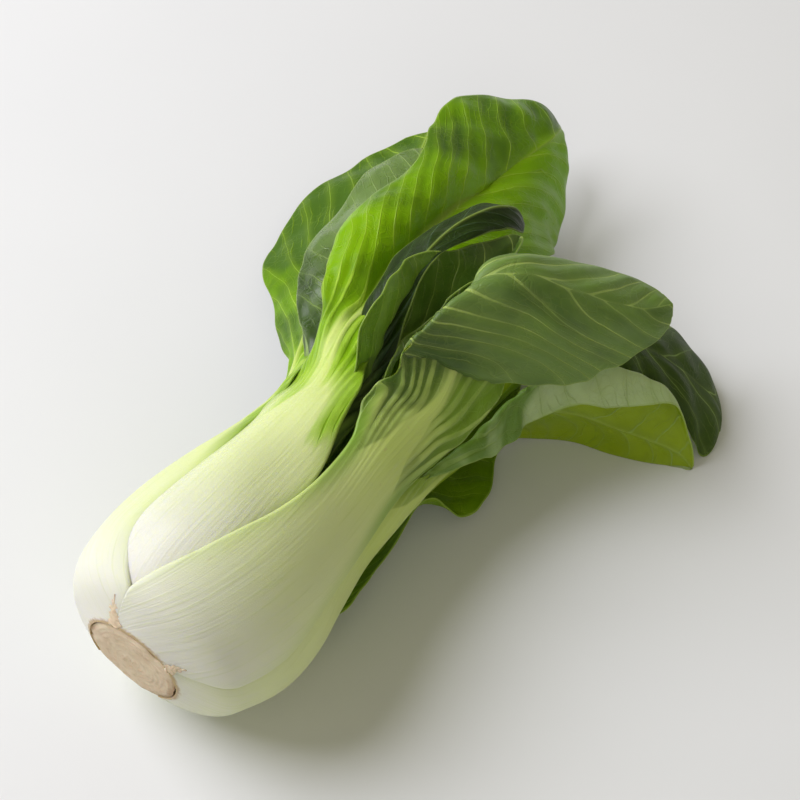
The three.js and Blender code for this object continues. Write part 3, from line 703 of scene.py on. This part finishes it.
def stem_polygons(rings):
    """A fan at the middle of the cut, bands between rings, and a flat inner end."""
    here = np.arange(STEM_SIDES)
    after = (here + 1) % STEM_SIDES
    polygons = [(0, 1 + a, 1 + b) for a, b in zip(here, after)]
    for ring in range(rings - 1):
        first = 1 + ring * STEM_SIDES
        second = first + STEM_SIDES
        polygons += [(first + a, second + a, second + b, first + b) for a, b in zip(here, after)]
    polygons.append(tuple(1 + (rings - 1) * STEM_SIDES + here))
    return polygons


def stem_piece():
    """The short stem: an uneven cut face with a ragged rim, and a cone inside the leaves."""
    angle = np.linspace(0, 2 * math.pi, STEM_SIDES, endpoint=False)
    rings = cut_rings(angle)
    for radius, x in STEM_PROFILE[1:]:
        rings.append(around(np.full_like(angle, x), 0, radius, angle))
    points = np.concatenate([[[-CUT_DISH, 0, AXIS_HEIGHT]]] + rings)
    obj = new_mesh("cut_stem_face", (points + TO_FRAME) * MM, stem_polygons(len(rings)))
    parts = np.minimum(np.arange(1, len(rings) + 1) / CUT_RINGS, 1)
    store(obj.data, "cut_radius", np.concatenate([[0], np.repeat(parts, STEM_SIDES)]))
    weld(obj)
    return obj


def border(rows, columns):
    """The outermost points of a grid, in order."""
    size = rows * columns
    right = [i * columns + columns - 1 for i in range(1, rows)]
    end = [size - 1 - i for i in range(1, columns)]
    left = [(rows - 1 - i) * columns for i in range(1, rows - 1)]
    return list(range(columns)) + right + end + left


def scar_faces(u, v, turn, length, spread, seed):
    """The scar's outer and inner faces. u is along it and v is across it."""
    rng = np.random.default_rng(seed)
    narrow = (1 - u) ** 0.7 * (1 + 0.3 * soft_noise(rng, u * 14) + 0.15 * soft_noise(rng, u * 40, v * 2))
    x = length * u + 0.5 * soft_noise(rng, v * 4) * (1 - u) * 0.6
    angle = np.radians(turn + spread * v * np.maximum(narrow, 0.03) + 1.5 * np.sin(u * 4 + seed))
    radius = np.interp(x, STATION, BULB_RADIUS)
    bend = np.interp(x, STATION, BULB_BEND)
    lump = 0.1 + 0.4 * (1 - v ** 2) + 0.16 * soft_noise(rng, u * 20, v * 5)
    faces = []
    for height in (lump, np.full_like(lump, -SCAR_THICKNESS)):
        faces.append(around(x - 0.3 * height, bend, radius + height, angle).reshape(-1, 3))
    return np.concatenate(faces)


def scar_piece(name, turn, length, spread, seed):
    """A torn strip of stem that reaches up between two stalks. spread is its half angle at the cut."""
    rows, columns = SCAR_STEPS
    u, v = np.meshgrid(np.linspace(0, 1, rows), np.linspace(-1, 1, columns), indexing="ij")
    points = scar_faces(u, v, turn, length, spread, seed)
    size = rows * columns
    edge = border(rows, columns)
    polygons = grid_faces(rows, columns, False).tolist() + (grid_faces(rows, columns, True) + size).tolist()
    polygons += [(a, b, size + b, size + a) for a, b in zip(edge, edge[1:] + edge[:1])]
    obj = new_mesh(name, (points + TO_FRAME) * MM, polygons)
    store(obj.data, "cut_radius", np.tile((0.6 + 0.34 * np.abs(v) ** 2).ravel(), 2))
    weld(obj)
    return obj


# ---- looks ----
# A leaf's blade has two colours on each face, which its tone and patches of noise mix. The tone also paints
# light
# and shade: lighter where light falls or shines through, darker in shade.

BRIGHT = ((0.070, 0.148, 0.014), (0.21, 0.42, 0.001))
SHADED = ((0.055, 0.12, 0.001), (0.15, 0.27, 0.002))
DARK = ((0.060, 0.120, 0.016), (0.15, 0.25, 0.045))
# Dark green, turning to a painted blue-grey sheen, for the left inner leaf.
INKY_AND_SHEEN = ((0.026, 0.062, 0.003), (0.15, 0.24, 0.06))
DUSKY = ((0.10, 0.19, 0.022), (0.20, 0.33, 0.06))
# Painted sheen: pale grey-green for the right leaf's top flap, where it catches the window light.
PAINTED_SHEEN = ((0.14, 0.26, 0.03), (0.48, 0.61, 0.30))
# Painted shade: the hood leaf's near-black greens.
PAINTED_DEEP_SHADE = ((0.008, 0.020, 0.001), (0.014, 0.032, 0.002))
# Painted shade: the darker greens of the back leaf's inner face.
PAINTED_SHADE_DARK = ((0.036, 0.068, 0.006), (0.056, 0.10, 0.012))
# The underside, brightened yellow-green as a painted glow of light shining through the blade.
UNDERSIDE_PAINTED_GLOW = ((0.22, 0.33, 0.003), (0.30, 0.41, 0.006))
PALE_VEIN = (0.34, 0.5, 0.025)
DARK_VEIN = (0.24, 0.34, 0.07)
# Painted shade: the hood leaf's dim veins.
PAINTED_SHADE_VEIN = (0.05, 0.09, 0.012)
SILVER_VEIN = (0.36, 0.46, 0.11)

HEART_FINISH = ("heart_leaf", SHADED, SHADED, PALE_VEIN, 0.45, 1.3)
# node: slot, outer and inner face's colours, veins' colour, roughness, index of refraction, seed
FINISHES = {
    "front_leaf": ("dark_leaf", SHADED, DARK, SILVER_VEIN, 0.44, 1.42, 1),
    "left_leaf": ("bright_leaf", BRIGHT, DARK, PALE_VEIN, 0.36, 1.16, 2),
    "right_leaf": ("dark_leaf", UNDERSIDE_PAINTED_GLOW, PAINTED_SHEEN, DARK_VEIN, 0.4, 1.3, 3),
    "top_leaf": ("bright_leaf", BRIGHT, DARK, PALE_VEIN, 0.26, 1.24, 4),
    "bottom_leaf": ("bright_leaf", SHADED, SHADED, PALE_VEIN, 0.42, 1.22, 5),
    "left_inner_leaf": ("dark_leaf", INKY_AND_SHEEN, DARK, DARK_VEIN, 0.24, 1.42, 6),
    "back_leaf": ("dark_leaf", UNDERSIDE_PAINTED_GLOW, PAINTED_SHADE_DARK, DARK_VEIN, 0.46, 1.3, 7),
    "hood_leaf": ("dark_leaf", PAINTED_DEEP_SHADE, PAINTED_DEEP_SHADE, PAINTED_SHADE_VEIN, 0.38, 1.3, 8),
    "curled_leaf": ("dark_leaf", DUSKY, DUSKY, SILVER_VEIN, 0.28, 1.5, 9),
    "heart_leaf_front": (*HEART_FINISH, 10),
    "heart_leaf_left": (*HEART_FINISH, 11),
    "heart_leaf_top": (*HEART_FINISH, 12),
}
# The noise of each leaf's material starts this far from the last one's.
SEED_STEP = 17.0


def rgb(r, g, b):
    return (r, g, b, 1)


MOTTLE_GREEN = rgb(0.02, 0.05, 0.003)
# Painted shade: the near-black green that a blade darkens to where its tone falls below -0.4.
PAINTED_SHADE_GREEN = rgb(0.008, 0.018, 0.002)
MARGIN_GREEN = rgb(0.28, 0.38, 0.08)
# How strongly the veins' colour shows in the finest net, the branches, beside the side veins and on them.
NET_TINT = 0.09
BRANCH_TINT = 0.26
HALO_TINT = 0.13
VEIN_TINT = 0.62

STALK_COLOURS = [
    (0.0, (0.73, 0.71, 0.67)),
    (0.25, (0.72, 0.72, 0.60)),
    (0.5, (0.69, 0.74, 0.42)),
    (0.75, (0.67, 0.74, 0.34)),
    (1.0, (0.56, 0.67, 0.19)),
]
EDGE_GREEN = rgb(0.45, 0.58, 0.12)
FIBRE_GREEN = rgb(0.42, 0.5, 0.14)
WING_GREEN = rgb(0.16, 0.32, 0.015)
RIB_GREEN = rgb(0.27, 0.38, 0.045)
SPOT_TAN = rgb(0.5, 0.4, 0.2)
TORN_BROWN = rgb(0.42, 0.27, 0.12)

LEAF_SUBSURFACE = {"Weight": 0.45, "Radius": (0.9, 1.0, 0.25), "Scale": 0.0025}
LEAF_BUMP = (0.55, 0.0008)

CUT_TAN = rgb(0.74, 0.60, 0.43)
CUT_SHADE = rgb(0.66, 0.52, 0.36)
CUT_GRAIN = rgb(0.38, 0.27, 0.14)
CUT_PITH = rgb(0.72, 0.6, 0.42)
CUT_RIM = rgb(0.3, 0.17, 0.07)
CUT_SUBSURFACE = {"Weight": 0.15, "Scale": 0.002}
CUT_BUMP = (0.6, 0.0005)

FLOOR_GREY = rgb(0.74, 0.74, 0.74)
FLOOR_PALE = rgb(0.78, 0.78, 0.775)
FLOOR_ROUGHNESS = 0.75


class Nodes:
    """Short names for the shader nodes that the materials share."""

    def __init__(self, name):
        self.material = bpy.data.materials.new(name)
        self.material.use_nodes = True
        self.tree = self.material.node_tree
        self.shader = self.tree.nodes["Principled BSDF"]

    def new(self, kind, **settings):
        node = self.tree.nodes.new(kind)
        for key, value in settings.items():
            setattr(node, key, value)
        return node

    def feed(self, socket, value):
        if isinstance(value, bpy.types.NodeSocket):
            self.tree.links.new(value, socket)
        else:
            socket.default_value = value

    def surface(self, socket, value):
        self.feed(self.shader.inputs[socket], value)

    def subsurface(self, settings):
        for key, value in settings.items():
            self.surface(f"Subsurface {key}", value)

    def add(self, kind, sockets, **settings):
        """Adds a node, feeds its sockets, and returns its outputs."""
        node = self.new(kind, **settings)
        for key, value in sockets.items():
            self.feed(node.inputs[key], value)
        return node.outputs

    def math(self, operation, a, b=0.0, clamp=False):
        return self.add("ShaderNodeMath", {0: a, 1: b}, operation=operation, use_clamp=clamp)[0]

    def plus(self, a, b):
        return self.math("ADD", a, b)

    def minus(self, a, b):
        return self.math("SUBTRACT", a, b)

    def times(self, a, b):
        return self.math("MULTIPLY", a, b)

    def attribute(self, key):
        return self.new("ShaderNodeAttribute", attribute_name=key).outputs["Fac"]

    def ramp(self, value, low, high, start=0.0, end=1.0):
        """start where value is at low, end where it is at high, smoothly between."""
        sockets = {"Value": value, "From Min": low, "From Max": high, "To Min": start, "To Max": end}
        return self.add("ShaderNodeMapRange", sockets, interpolation_type="SMOOTHSTEP")["Result"]

    def fade(self, value, low, high, start=1.0):
        """start where value is at low, nothing where it is at high."""
        return self.ramp(value, low, high, start, 0.0)

    def mix(self, part, a, b):
        return self.add("ShaderNodeMix", {"Factor": part, "A": a, "B": b}, data_type="RGBA")["Result"]

    def vector(self, x, y, z):
        return self.add("ShaderNodeCombineXYZ", {0: x, 1: y, 2: z})[0]

    def line_distance(self, phase, gap):
        """Distance to the nearest place where phase is whole, when it rises by one over each gap."""
        part = self.math("FRACT", phase)
        near = self.math("MINIMUM", part, self.minus(1.0, part))
        return self.times(near, gap)

    def noise(self, place, scale, detail=2.0, distortion=0.0):
        sockets = {"Vector": place, "Scale": scale, "Detail": detail, "Distortion": distortion}
        return self.add("ShaderNodeTexNoise", sockets)["Fac"]

    def cells(self, place, scale):
        """Distance to the nearest edge between cells, as in a net of fine veins."""
        sockets = {"Vector": place, "Scale": scale}
        return self.add("ShaderNodeTexVoronoi", sockets, feature="DISTANCE_TO_EDGE")["Distance"]

    def colours(self, value, stops):
        node = self.new("ShaderNodeValToRGB")
        ramp = node.color_ramp
        while len(ramp.elements) < len(stops):
            ramp.elements.new(0.5)
        for element, (place, colour) in zip(ramp.elements, stops):
            element.position = place
            element.color = (*colour, 1)
        self.feed(node.inputs[0], value)
        return node.outputs["Color"]

    def bump(self, height, strength, distance):
        sockets = {"Height": height, "Strength": strength, "Distance": distance}
        self.surface("Normal", self.add("ShaderNodeBump", sockets)["Normal"])


def leaf_nodes(name, seed):
    """A leaf's material with the measures that its parts share."""
    n = Nodes(name)
    n.seed = seed
    n.along = n.attribute("along")
    n.side = n.attribute("side")
    n.face = n.attribute("face_side")
    n.to_margin = n.attribute("to_margin")
    n.stalk_part = n.attribute("stalk_part")
    n.tone = n.attribute("tone")
    n.place = n.vector(n.side, n.along, seed)
    fibre_place = n.vector(n.times(n.side, 0.9), n.times(n.along, 0.03), seed)
    n.fibre = n.noise(fibre_place, 1.0, 3.0)
    lay_side_veins(n)
    lay_fine_veins(n)
    return n


def lay_side_veins(n):
    """Side veins, and the blade between them, from the distance to the nearest one in millimetres."""
    width = n.attribute("vein_half")
    n.phase = n.plus(n.attribute("vein_phase"), n.times(n.noise(n.place, 0.16), 0.12))
    away = n.minus(n.line_distance(n.phase, n.attribute("vein_gap")), width)
    strength = n.ramp(n.noise(n.place, 0.07), 0.38, 0.62, 0.35, 1.0)
    n.veins = n.times(n.fade(away, -0.15, 0.2), strength)
    n.halo = n.fade(away, -0.2, 2.6)
    # pale rib tissue reaches less far on the inner face
    n.off_rib = n.plus(n.attribute("off_rib"), n.times(n.face, 3.0))
    fill = n.times(width, n.minus(1.0, n.times(n.face, 0.8)))
    ribs = n.times(n.ramp(fill, 0.8, 2.4), n.fade(away, -1.5, 1.6))
    pale = n.math("MAXIMUM", n.fade(n.off_rib, -0.6, 0.9), ribs)
    n.blade = n.minus(1.0, pale)


def lay_fine_veins(n):
    """Finer veins branch off the side veins, and a net of the finest fills the rest."""
    twist = n.times(n.noise(n.place, 0.14, 2.0), 1.2)
    branch = n.plus(n.times(n.phase, 2.3), n.times(n.side, 0.06))
    branch = n.line_distance(n.plus(branch, twist), 4.0)
    branch = n.times(n.fade(branch, 0.05, 0.42), n.ramp(n.noise(n.place, 0.1), 0.4, 0.7))
    n.branch = n.times(branch, n.attribute("branches"))
    warp = n.noise(n.place, 0.12, 2.0)
    bent_side = n.plus(n.side, n.times(warp, 7.0))
    bent = n.vector(bent_side, n.plus(n.along, n.times(warp, 5.0)), n.seed)
    net = n.fade(n.cells(bent, 0.34), 0.015, 0.09)
    n.net = n.times(net, n.ramp(n.noise(n.place, 0.11), 0.35, 0.65))


def blade_colour(n, outer, inner, vein):
    """The green between the ribs: patches and mottling, painted shade where the tone is low, then each order
    of veins, then the margin.
    """
    patches = n.ramp(n.plus(n.noise(n.place, 0.035, 3.0), n.tone), 0.35, 0.68)
    mottle = n.noise(n.place, 0.5, 4.0)
    outer_green = n.mix(patches, rgb(*outer[0]), rgb(*outer[1]))
    inner_green = n.mix(patches, rgb(*inner[0]), rgb(*inner[1]))
    green = n.mix(n.face, outer_green, inner_green)
    green = n.mix(n.times(mottle, 0.35), green, n.mix(0.5, green, MOTTLE_GREEN))
    # painted shade: the blade darkens towards near black where its tone falls below -0.4
    green = n.mix(n.fade(n.tone, -1.3, -0.4, 0.85), green, PAINTED_SHADE_GREEN)
    green = n.mix(n.times(n.net, NET_TINT), green, rgb(*vein))
    green = n.mix(n.times(n.branch, BRANCH_TINT), green, rgb(*vein))
    green = n.mix(n.times(n.halo, HALO_TINT), green, rgb(*vein))
    green = n.mix(n.fade(n.off_rib, 0.0, 4.0, 0.2), green, rgb(*vein))
    bright_vein = rgb(1.35 * vein[0], 1.35 * vein[1], vein[2] + 0.05)
    green = n.mix(n.times(n.veins, VEIN_TINT), green, bright_vein)
    return n.mix(n.fade(n.to_margin, 0.1, 0.6, 0.5), green, MARGIN_GREEN)


def stalk_colour(n, green):
    """The stalk pales towards its base. It has faint fibres, green margins and a few blemishes."""
    part = n.math("ADD", n.stalk_part, n.times(n.fibre, 0.16), True)
    stalk = n.colours(part, STALK_COLOURS)
    edge = n.ramp(n.stalk_part, 0.1, 0.6, 0.25, 1.0)
    stalk = n.mix(n.times(n.fade(n.to_margin, 0.0, 6.0, 0.4), edge), stalk, EDGE_GREEN)
    stalk = n.mix(n.ramp(n.fibre, 0.56, 0.72, 0.0, 0.16), stalk, FIBRE_GREEN)
    wing = n.ramp(n.stalk_part, 0.55, 0.9, 0.0, 0.85)
    stalk = n.mix(n.times(n.fade(n.to_margin, 0.3, 7.0), wing), stalk, WING_GREEN)
    spots = n.ramp(n.noise(n.place, 0.22, 5.0, 0.6), 0.69, 0.76, 0.0, 0.25)
    stalk = n.mix(spots, stalk, SPOT_TAN)
    from_cut = n.plus(n.along, n.times(n.noise(n.place, 0.7, 4.0), 2.4))
    stalk = n.mix(n.fade(from_cut, 1.5, 3.2, 0.85), stalk, TORN_BROWN)
    high = n.ramp(n.stalk_part, 0.98, 1.45, 0.0, 0.8)
    return n.mix(high, stalk, n.mix(0.5, green, RIB_GREEN))


def gloss(n, rough):
    """Roughness that varies over the leaf, a little duller on the blade."""
    varied = n.plus(rough - 0.08, n.times(n.noise(n.place, 0.3, 4.0), 0.18))
    return n.plus(varied, n.times(n.blade, 0.04))


def relief(n):
    """Veins stand out on the outer face and sink into the inner one. The stalk has fine streaks."""
    facing = n.minus(1.0, n.times(n.face, 2.0))
    lines = n.plus(n.times(n.veins, 0.7), n.times(n.net, 0.2))
    lines = n.plus(lines, n.times(n.branch, 0.5))
    lines = n.times(n.times(lines, facing), n.blade)
    grain = n.times(n.noise(n.place, 2.6, 3.0), 0.10)
    streaks = n.times(n.times(n.fibre, 0.5), n.minus(1.0, n.blade))
    return n.plus(n.plus(lines, grain), streaks)


def leaf_material(name, outer, inner, vein, rough, ior, seed):
    """Stalk, ribs, veins and blade on one leaf. outer and inner are the blade's two colours on each face."""
    n = leaf_nodes(name, seed)
    green = blade_colour(n, outer, inner, vein)
    n.surface("Base Color", n.mix(n.blade, stalk_colour(n, green), green))
    n.surface("Roughness", gloss(n, rough))
    n.surface("IOR", ior)
    n.subsurface(LEAF_SUBSURFACE)
    n.bump(relief(n), *LEAF_BUMP)
    return n.material


def cut_material():
    """The dry cut face: pale tan, darker in rings, with a ragged brown rim."""
    n = Nodes("cut_stem")
    radius = n.attribute("cut_radius")
    place = n.new("ShaderNodeTexCoord").outputs["Object"]
    grain = n.noise(place, 420.0, 5.0)
    broad = n.noise(place, 130.0, 3.0)
    tan = n.mix(n.ramp(broad, 0.35, 0.65), CUT_TAN, CUT_SHADE)
    tan = n.mix(n.ramp(grain, 0.5, 0.75, 0.0, 0.35), tan, CUT_GRAIN)
    ring = n.plus(radius, n.times(n.minus(broad, 0.5), 0.25))
    tan = n.mix(n.fade(ring, 0.45, 0.7, 0.35), tan, CUT_PITH)
    n.surface("Base Color", n.mix(n.ramp(ring, 0.93, 1.02, 0.0, 0.55), tan, CUT_RIM))
    n.surface("Roughness", n.ramp(grain, 0.3, 0.7, 0.7, 0.9))
    n.subsurface(CUT_SUBSURFACE)
    n.bump(grain, *CUT_BUMP)
    return n.material


def floor_material():
    n = Nodes("pale_floor")
    place = n.new("ShaderNodeTexCoord").outputs["Object"]
    n.surface("Base Color", n.mix(n.noise(place, 9.0, 4.0), FLOOR_GREY, FLOOR_PALE))
    n.surface("Roughness", FLOOR_ROUGHNESS)
    return n.material


# ---- the pieces ----

def finish_piece(obj, node, material):
    obj.data.materials.append(material)
    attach(obj, "root")
    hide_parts(node)


def build_head():
    for node, (slot, outer, inner, vein, rough, ior, seed) in FINISHES.items():
        piece = leaf_piece(f"{node}_blade", LEAF_DEFAULTS | LEAVES[node], seed)
        skin = leaf_material(f"{node}_skin", outer, inner, vein, rough, ior, seed * SEED_STEP)
        finish_piece(piece, node, skin)
    cut = cut_material()
    finish_piece(stem_piece(), "stem_base", cut)
    for name, (turn, length, spread, seed) in SCARS.items():
        finish_piece(scar_piece(name, turn, length, spread, seed), "stem_base", cut)


# ---- camera, floor and light ----

CAMERA_TARGET = Vector((-0.0059, -0.0006, 0.0342))
CAMERA_TURN = math.radians(55)
CAMERA_RISE = math.radians(55)
CAMERA_DISTANCE = 0.75
LENS_MM = 100
FLOOR_SIZE = 4.0
# name: place, what it points at, size, power, colour
LIGHTS = {
    "window": ((-0.32, 1.15, 1.25), (0, 0, 0), 1.4, 34, (0.985, 0.99, 1.08)),
    "bounce": ((-0.9, -0.7, 0.9), (0, 0, 0.03), 1.2, 2.5, (1, 1, 1)),
}
ROOM_COLOUR = rgb(1.0, 0.95, 0.66)
ROOM_STRENGTH = 0.26


def look_at(obj, place, target):
    obj.location = place
    obj.rotation_euler = (target - place).to_track_quat("-Z", "Y").to_euler()


def add_camera():
    camera = bpy.data.objects.new("camera", bpy.data.cameras.new("camera"))
    camera.data.lens = LENS_MM
    level = math.cos(CAMERA_RISE)
    back = Vector((-math.sin(CAMERA_TURN) * level, -math.cos(CAMERA_TURN) * level, math.sin(CAMERA_RISE)))
    look_at(camera, CAMERA_TARGET + back * CAMERA_DISTANCE, CAMERA_TARGET)
    bpy.context.scene.collection.objects.link(camera)
    bpy.context.scene.camera = camera


def add_floor():
    half = FLOOR_SIZE / 2
    corners = np.array([(-half, -half, 0), (half, -half, 0), (half, half, 0), (-half, half, 0)])
    floor = new_mesh("floor", corners, [(0, 1, 2, 3)])
    floor.data.materials.append(floor_material())


def add_area_light(name, place, target, size, power, colour):
    light = bpy.data.objects.new(name, bpy.data.lights.new(name, "AREA"))
    light.data.shape = "DISK"
    light.data.size = size
    light.data.energy = power
    light.data.color = colour
    look_at(light, Vector(place), Vector(target))
    bpy.context.scene.collection.objects.link(light)


def add_lights():
    for name, settings in LIGHTS.items():
        add_area_light(name, *settings)
    world = bpy.data.worlds.new("studio")
    world.use_nodes = True
    background = world.node_tree.nodes["Background"]
    background.inputs["Color"].default_value = ROOM_COLOUR
    background.inputs["Strength"].default_value = ROOM_STRENGTH
    bpy.context.scene.world = world


add_camera()
add_floor()
add_lights()
build_head()
bpy.context.scene.view_settings.view_transform = "Standard"
